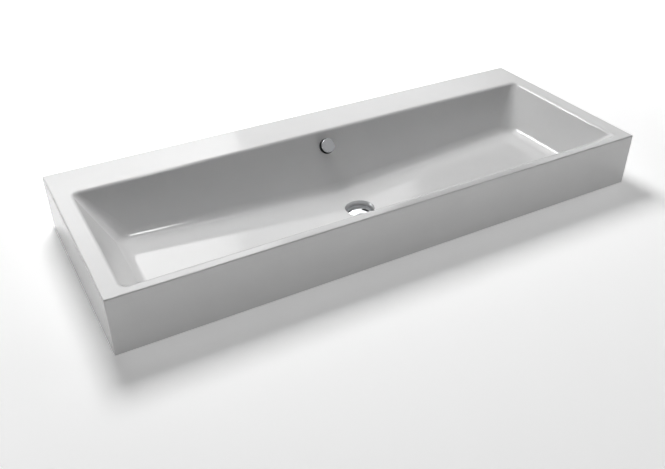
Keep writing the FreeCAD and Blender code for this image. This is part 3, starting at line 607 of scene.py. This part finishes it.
@dataclass
class WasteSet:
    """Waste body with its thread, seals, collar and nut."""

    thread_r: float = 20.955 * MM
    thread_length: float = 21.5 * MM
    thread_pitch: float = 2.309 * MM
    thread_depth: float = 0.45 * MM
    root_sink: float = 0.05 * MM
    core_sink: float = 0.6 * MM
    row_step: float = 0.19 * MM
    sides: int = 96

    def build(self) -> None:
        """Dress the waste's nodes and cut its thread."""
        dress(CHROME, "waste_body")
        dress(RUBBER, "flange_seal", "collar_seal_upper", "collar_seal_lower")
        dress(POLYMER, "overflow_collar", "slip_washer")
        dress(BRASS, "lock_nut")
        settle(surface("outlet_thread", self.thread(), close_rows=True), Body.BASIN, CHROME)

    def thread(self) -> np.ndarray:
        """The thread: a triangle wave in height that climbs one pitch in a turn.

        The wave fades in and out over one pitch at either end, and an inner wall closes it.

        Returns:
            Rows by columns by three coordinates.
        """
        low, high = corners("waste_body")
        middle = (low[:2] + high[:2]) / 2
        start = low[2] + self.thread_pitch / 2
        rows = round(self.thread_length / self.row_step)
        rise = np.linspace(0, self.thread_length, rows)[:, None]
        around = np.linspace(0, 2 * np.pi, self.sides, endpoint=False)[None, :]
        phase = (rise / self.thread_pitch - around / (2 * np.pi)) % 1
        wave = 1 - np.abs(2 * phase - 1)
        ends = np.minimum(rise, self.thread_length - rise) / self.thread_pitch
        root = self.thread_r - self.root_sink
        outer = root + self.thread_depth * wave * np.clip(ends, 0, 1)
        core = np.full((2, self.sides), self.thread_r - self.core_sink)
        radius = np.vstack([outer, core])
        height = start + np.vstack([rise, rise[-1:], rise[:1]]) * np.ones_like(around)
        x = middle[0] + radius * np.cos(around)
        y = middle[1] + radius * np.sin(around)
        return np.stack([x, y, height], axis=-1)


@dataclass
class PlugSet:
    """Plug with its seal and stem, and the push-button cartridge under it."""

    node: str = "cartridge_spring"
    wire: float = 0.6 * MM
    turns: int = 5
    rows: int = 301
    columns: int = 16

    def build(self) -> None:
        """Dress the plug's and the cartridge's nodes and wind the spring."""
        dress(CHROME, "plug_cap")
        dress(RUBBER, "plug_seal")
        dress(STAINLESS, "plug_stem", "seal_retainer")
        dress(ACETAL, "cartridge_housing", "cartridge_cap")
        self.wind_spring()

    def wind_spring(self) -> None:
        """Make the cartridge's spring, which in the real waste shortens and lengthens with the plug; here
        it rides on no body.
        """
        low, high = corners(self.node)
        rise = np.array([0, 0, 1])
        axis = (low + high) / 2 * (1 - rise)
        mesh = surface("coil_spring", self.wound_wire(low, high, axis, rise))
        spring = settle(mesh, None, STAINLESS)
        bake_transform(spring)
        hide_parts(self.node)

    def wound_wire(
        self, low: np.ndarray, high: np.ndarray, axis: np.ndarray, rise: np.ndarray
    ) -> np.ndarray:
        """The spring's wire, whose line goes round the plug's axis and climbs evenly.

        A circle of the wire's radius, square to that line, is swept along it and shrinks to a point
        at both ends.

        Args:
            low: The spring's lowest corner.
            high: Its highest corner.
            axis: Where the plug's axis meets the floor.
            rise: The direction of that axis.

        Returns:
            Rows by columns by three coordinates.
        """
        radius = (high[0] - low[0]) / 2 - self.wire
        foot, top = low[2] + self.wire, high[2] - self.wire
        angle = np.linspace(0, 2 * np.pi * self.turns, self.rows)
        climb = (top - foot) / angle[-1]
        out = np.stack([np.cos(angle), np.sin(angle), np.zeros(self.rows)], axis=-1)
        round_axis = np.stack([-np.sin(angle), np.cos(angle), np.zeros(self.rows)], axis=-1)
        line = axis + radius * out + (foot + climb * angle)[:, None] * rise
        along = radius * round_axis + climb * rise
        across = np.cross(along / np.linalg.norm(along, axis=-1, keepdims=True), out)
        turn = np.linspace(0, 2 * np.pi, self.columns, endpoint=False)[None, :, None]
        ring = np.cos(turn) * out[:, None, :] + np.sin(turn) * across[:, None, :]
        wire = line[:, None, :] + self.wire * ring
        ends = np.repeat(line[[0, -1], None, :], self.columns, axis=1)
        return np.concatenate([ends[:1], wire, ends[1:]])


@dataclass
class FixingSet:
    """Brackets with weld beads and nuts, and the boards under the floor."""

    bead_r: float = 2.0 * MM
    bead_sink: float = 0.6 * MM
    ripple: float = 0.14
    ripple_pitch: float = 2.6 * MM
    run_out: int = 12
    low_gap: float = 12.0 * MM
    high_gap: float = 9.0 * MM
    rows: int = 72
    sides: int = 16

    def build(self) -> None:
        """Dress the fixing nodes and lay a bead along both edges of each bracket."""
        brackets = [f"fixing_bracket_{a}_{b}" for a in ("front", "back") for b in ("left", "right")]
        dress(ZINC, *brackets, "bracket_nuts")
        dress(BITUMEN, "damping_pad_left", "damping_pad_right")
        for bracket in brackets:
            low, high = corners(bracket)
            for edge, x in (("left", low[0]), ("right", high[0])):
                name = bracket.replace("fixing_bracket", "weld_bead") + "_" + edge
                mesh = surface(name, self.bead(x, low, high))
                settle(mesh, Body.BASIN, ZINC)

    def bead(self, x: float, low: np.ndarray, high: np.ndarray) -> np.ndarray:
        """A weld bead up the skirt: a round bar whose radius ripples and runs out at its ends.

        Args:
            x: Where the bracket's edge is.
            low: The bracket's lowest corner.
            high: Its highest corner.

        Returns:
            Rows by columns by three coordinates.
        """
        y = high[1] - self.bead_sink if high[1] > 0 else low[1] + self.bead_sink
        bottom = low[2] + self.low_gap
        top = high[2] - self.high_gap
        share = np.linspace(0, 1, self.rows)
        ends = np.sqrt(np.clip(1 - np.abs(2 * share - 1) ** self.run_out, 0, 1))
        waves = 1 + self.ripple * np.abs(np.sin(np.pi * share * (top - bottom) / self.ripple_pitch))
        radius = (self.bead_r * ends * waves)[:, None]
        around = np.linspace(0, 2 * np.pi, self.sides, endpoint=False)
        height = (bottom + share * (top - bottom))[:, None] * np.ones(self.sides)
        return np.stack([x + radius * np.cos(around), y + radius * np.sin(around), height], axis=-1)


@dataclass(frozen=True)
class StudioCard:
    """A flat card that faces the middle of the object and glows, fading towards its edges.

    Its aim is its azimuth, from the back towards the right, its elevation above the floor, both in
    degrees, and its distance in metres. Its size is its width and height, and its feather the share
    of each half that fades. A mirrored card with little glow keeps the white room from the gloss.
    """

    use: Use
    name: str
    aim: tuple[float, float, float]
    size: tuple[float, float]
    glow: float
    feather: tuple[float, float] = (0.0, 0.0)

    def hang(self) -> None:
        """Add the card to the studio; the camera itself doesn't see it."""
        half_x, half_y = (side / 2 for side in self.size)
        mesh = bpy.data.meshes.new(self.name)
        mesh.from_pydata(
            [(-half_x, -half_y, 0), (half_x, -half_y, 0), (half_x, half_y, 0), (-half_x, half_y, 0)],
            [],
            [(0, 1, 2, 3)],
        )
        mesh.materials.append(self.cloth(half_x, half_y))
        card = bpy.data.objects.new(self.name, mesh)
        azimuth, elevation, distance = self.aim
        turn = math.radians(azimuth)
        rise = math.radians(elevation)
        across = distance * math.cos(rise)
        height = distance * math.sin(rise)
        card.location = (across * math.sin(turn), across * math.cos(turn), height)
        card.rotation_euler = (math.pi / 2 - rise, 0, math.pi - turn)
        card.visible_camera = False
        card.visible_shadow = False
        card.visible_diffuse = self.use is Use.LAMP
        card.visible_glossy = self.use is Use.MIRRORED
        bpy.context.scene.collection.objects.link(card)

    def cloth(self, half_x: float, half_y: float) -> bpy.types.Material:
        """Make the card's cloth, which thins out: a smooth step in from each pair of edges, multiplied.

        Args:
            half_x: Half the card's width, in metres.
            half_y: Half its height.

        Returns:
            The card's material.
        """
        made = bpy.data.materials.new(self.name)
        made.use_nodes = True
        tree = made.node_tree
        tree.nodes.clear()
        place = add(tree, "ShaderNodeTexCoord", {}).outputs["Object"]
        split = add(tree, "ShaderNodeSeparateXYZ", {}, {"Vector": place})
        fades = {}
        sides = zip(("X", "Y"), (half_x, half_y), self.feather)
        for number, (axis, half, feather) in enumerate(sides):
            away = add(tree, "ShaderNodeMath", {"operation": "ABSOLUTE"}, {0: split.outputs[axis]})
            limits = {
                "interpolation_type": "SMOOTHSTEP",
                "From Min": half,
                "From Max": half * (1 - feather) - MM,
            }
            fade = add(tree, "ShaderNodeMapRange", limits, {"Value": away.outputs["Value"]})
            fades[number] = fade.outputs["Result"]
        cover = add(tree, "ShaderNodeMath", {"operation": "MULTIPLY"}, fades).outputs["Value"]
        clear = add(tree, "ShaderNodeBsdfTransparent", {}).outputs["BSDF"]
        light = add(tree, "ShaderNodeEmission", {"Strength": self.glow}).outputs["Emission"]
        both = {"Fac": cover, 1: clear, 2: light}
        cloth = add(tree, "ShaderNodeMixShader", {}, both).outputs["Shader"]
        add(tree, "ShaderNodeOutputMaterial", {}, {"Surface": cloth})
        return made


CARDS = (
    StudioCard(Use.LAMP, "back_lamp", aim=(0.0, 53.0, 3.2), size=(1.2, 1.2), glow=15.4),
    StudioCard(Use.LAMP, "right_lamp", aim=(95.0, 40.0, 3.2), size=(1.2, 1.2), glow=1.6),
    StudioCard(Use.LAMP, "under_lamp", aim=(200.0, -60.0, 3.0), size=(4.0, 3.0), glow=3.6),
    StudioCard(
        Use.MIRRORED, "back_softbox", aim=(0.0, 42.0, 3.2), size=(2.5, 2.7), glow=4.1, feather=(0.5, 0.6)
    ),
    StudioCard(
        Use.MIRRORED, "right_softbox", aim=(30.0, 36.0, 3.3), size=(3.6, 3.0), glow=1.95, feather=(0.7, 0.6)
    ),
    StudioCard(
        Use.MIRRORED, "dark_flag", aim=(46.0, 31.5, 3.0), size=(0.95, 0.8), glow=0.0, feather=(0.35, 0.35)
    ),
    StudioCard(
        Use.MIRRORED, "right_fill", aim=(66.0, 27.0, 3.4), size=(2.2, 2.4), glow=1.2, feather=(0.5, 0.4)
    ),
    StudioCard(
        Use.MIRRORED,
        "left_softbox",
        aim=(-25.5, 43.5, 2.9),
        size=(1.05, 0.55),
        glow=20.0,
        feather=(0.25, 0.4),
    ),
    StudioCard(
        Use.MIRRORED,
        "high_softbox",
        aim=(70.0, 85.5, 2.85),
        size=(0.9, 0.45),
        glow=14.0,
        feather=(0.4, 0.4),
    ),
    StudioCard(
        Use.MIRRORED, "cover_card", aim=(180.0, 29.0, 3.0), size=(6.0, 2.2), glow=0.42, feather=(0.2, 0.3)
    ),
    StudioCard(Use.MIRRORED, "front_flat", aim=(180.0, 24.0, 3.6), size=(9.0, 3.4), glow=0.01),
    StudioCard(Use.MIRRORED, "right_flat", aim=(80.0, 20.0, 4.4), size=(7.0, 4.0), glow=0.01),
    StudioCard(Use.MIRRORED, "left_flat", aim=(-80.0, 20.0, 4.4), size=(6.0, 4.0), glow=0.01),
)


@dataclass
class Studio:
    """Camera, floor, room light and cards."""

    eye: tuple[float, float, float] = (-743.11 * MM, -1242.09 * MM, 899.36 * MM)
    heading: float = 29.259
    tilt: float = 34.272
    lens_mm: float = 41.22
    sensor_mm: float = 36.0
    near_clip: float = 50.0 * MM
    floor_size: float = 30.0
    hole_edge: float = 10.0 * MM
    floor_colour: str = "#F4F4F4"
    floor_gain: float = 1.3
    floor_glow: float = 0.22
    far_glow: float = 0.85
    far_reach: tuple[float, float] = (0.75, 2.3)
    table_light: float = 0.32
    room_light: float = 0.1
    high_room: float = 0.7
    room_fade: tuple[float, float] = (0.03, 0.4)
    cards: tuple[StudioCard, ...] = CARDS

    def build(self) -> None:
        """Set up the whole studio."""
        self.place_camera()
        self.lay_floor()
        self.light_room()
        for card in self.cards:
            card.hang()
        bpy.context.scene.view_settings.view_transform = "Standard"
        LOG.info("studio: camera, floor, room and %d cards", len(self.cards))

    def place_camera(self) -> None:
        """Put the camera at the photograph's viewpoint."""
        lens = bpy.data.cameras.new("camera")
        lens.sensor_fit = "HORIZONTAL"
        lens.sensor_width = self.sensor_mm
        lens.lens = self.lens_mm
        lens.clip_start = self.near_clip
        camera = bpy.data.objects.new("camera", lens)
        camera.location = self.eye
        camera.rotation_euler = (math.radians(90 - self.tilt), 0, math.radians(-self.heading))
        bpy.context.scene.collection.objects.link(camera)
        bpy.context.scene.camera = camera

    def lay_floor(self) -> None:
        """Lay the pale floor in the plane of the seat, cut out inside the skirt."""
        _, high = corners(SHELL)
        hole = high[:2] - self.hole_edge
        edges = np.array([hole, np.full(2, self.floor_size / 2)])
        signs = np.array([(-1, -1), (1, -1), (1, 1), (-1, 1)])
        flat = edges[:, None, :] * signs[None, :, :]
        points = np.concatenate([flat, np.zeros((2, 4, 1))], axis=-1)
        mesh = surface("floor", points)
        if mesh.polygons[0].normal.z < 0:
            mesh.flip_normals()
        mesh.materials.append(self.floor_cloth())
        floor = bpy.data.objects.new("floor", mesh)
        bpy.context.scene.collection.objects.link(floor)

    def floor_cloth(self) -> bpy.types.Material:
        """Make the floor's cloth, which glows as a light table does and lights the object from below.

        Where it is seen, its colour is raised until the open floor is white, and the object's shadow
        stays on it. It glows more far out, where the lamps don't reach, and from below it is clear.

        Returns:
            The floor's material.
        """
        made = bpy.data.materials.new("pale_floor")
        made.use_nodes = True
        tree = made.node_tree
        tree.nodes.clear()
        seen = self.seen(tree)
        gains = {"To Min": 1.0, "To Max": self.floor_gain}
        lit = add(tree, "ShaderNodeMapRange", gains, {"Value": seen}).outputs["Result"]
        pale = {"operation": "SCALE", 0: linear(self.floor_colour)[:3]}
        colour = add(tree, "ShaderNodeVectorMath", pale, {"Scale": lit}).outputs["Vector"]
        matt = add(tree, "ShaderNodeBsdfDiffuse", {}, {"Color": colour}).outputs["BSDF"]
        place = add(tree, "ShaderNodeTexCoord", {}).outputs["Object"]
        length = {"operation": "LENGTH"}
        distance = add(tree, "ShaderNodeVectorMath", length, {0: place}).outputs["Value"]
        rise = {"interpolation_type": "SMOOTHSTEP", "To Min": self.floor_glow, "To Max": self.far_glow}
        rise |= {"From Min": self.far_reach[0], "From Max": self.far_reach[1]}
        shown = add(tree, "ShaderNodeMapRange", rise, {"Value": distance}).outputs["Result"]
        levels = {"Value": seen, "To Max": shown}
        table = {"To Min": self.table_light}
        strength = add(tree, "ShaderNodeMapRange", table, levels).outputs["Result"]
        glow = add(tree, "ShaderNodeEmission", {}, {"Strength": strength}).outputs["Emission"]
        both = add(tree, "ShaderNodeAddShader", {}, {0: matt, 1: glow}).outputs["Shader"]
        clear = add(tree, "ShaderNodeBsdfTransparent", {}).outputs["BSDF"]
        below = add(tree, "ShaderNodeNewGeometry", {}).outputs["Backfacing"]
        sides = {"Fac": below, 1: both, 2: clear}
        cloth = add(tree, "ShaderNodeMixShader", {}, sides).outputs["Shader"]
        add(tree, "ShaderNodeOutputMaterial", {}, {"Surface": cloth})
        return made

    @staticmethod
    def seen(tree: Tree) -> Socket:
        """One for what is seen directly, in a mirror or through glass, and none for scattered light.

        Args:
            tree: The node tree that asks.

        Returns:
            The socket with the answer.
        """
        path = add(tree, "ShaderNodeLightPath", {})
        sharp = {0: path.outputs["Is Glossy Ray"], 1: path.outputs["Is Transmission Ray"]}
        mirrored = add(tree, "ShaderNodeMath", {"operation": "MAXIMUM"}, sharp).outputs["Value"]
        both = {0: path.outputs["Is Camera Ray"], 1: mirrored}
        return add(tree, "ShaderNodeMath", {"operation": "MAXIMUM"}, both).outputs["Value"]

    def light_room(self) -> None:
        """Fill the room with even light, dim where it lights and pale where it is seen.

        What is seen is white at the horizon and a light grey higher up, so that the enamel stands
        out from it in a view from below.
        """
        world = bpy.data.worlds.new("room")
        bpy.context.scene.world = world
        world.use_nodes = True
        tree = world.node_tree
        tree.nodes.clear()
        way = add(tree, "ShaderNodeTexCoord", {}).outputs["Generated"]
        rise = add(tree, "ShaderNodeSeparateXYZ", {}, {0: way}).outputs["Z"]
        fade = {"interpolation_type": "SMOOTHSTEP", "To Min": 1.0, "To Max": self.high_room}
        fade |= {"From Min": self.room_fade[0], "From Max": self.room_fade[1]}
        shown = add(tree, "ShaderNodeMapRange", fade, {"Value": rise}).outputs["Result"]
        levels = {"Value": self.seen(tree), "To Max": shown}
        dim = {"To Min": self.room_light}
        strength = add(tree, "ShaderNodeMapRange", dim, levels).outputs["Result"]
        sky = add(tree, "ShaderNodeBackground", {"Color": linear(WHITE)}, {"Strength": strength})
        add(tree, "ShaderNodeOutputWorld", {}, {"Surface": sky.outputs["Background"]})


def main() -> None:
    """Build the object's looks in order, then the studio."""
    logging.basicConfig(level=logging.INFO, format="%(name)s: %(message)s")
    for assembly in (EnamelShell(), OverflowSet(), WasteSet(), PlugSet(), FixingSet()):
        assembly.build()
    Studio().build()


if __name__ == "__main__":
    main()
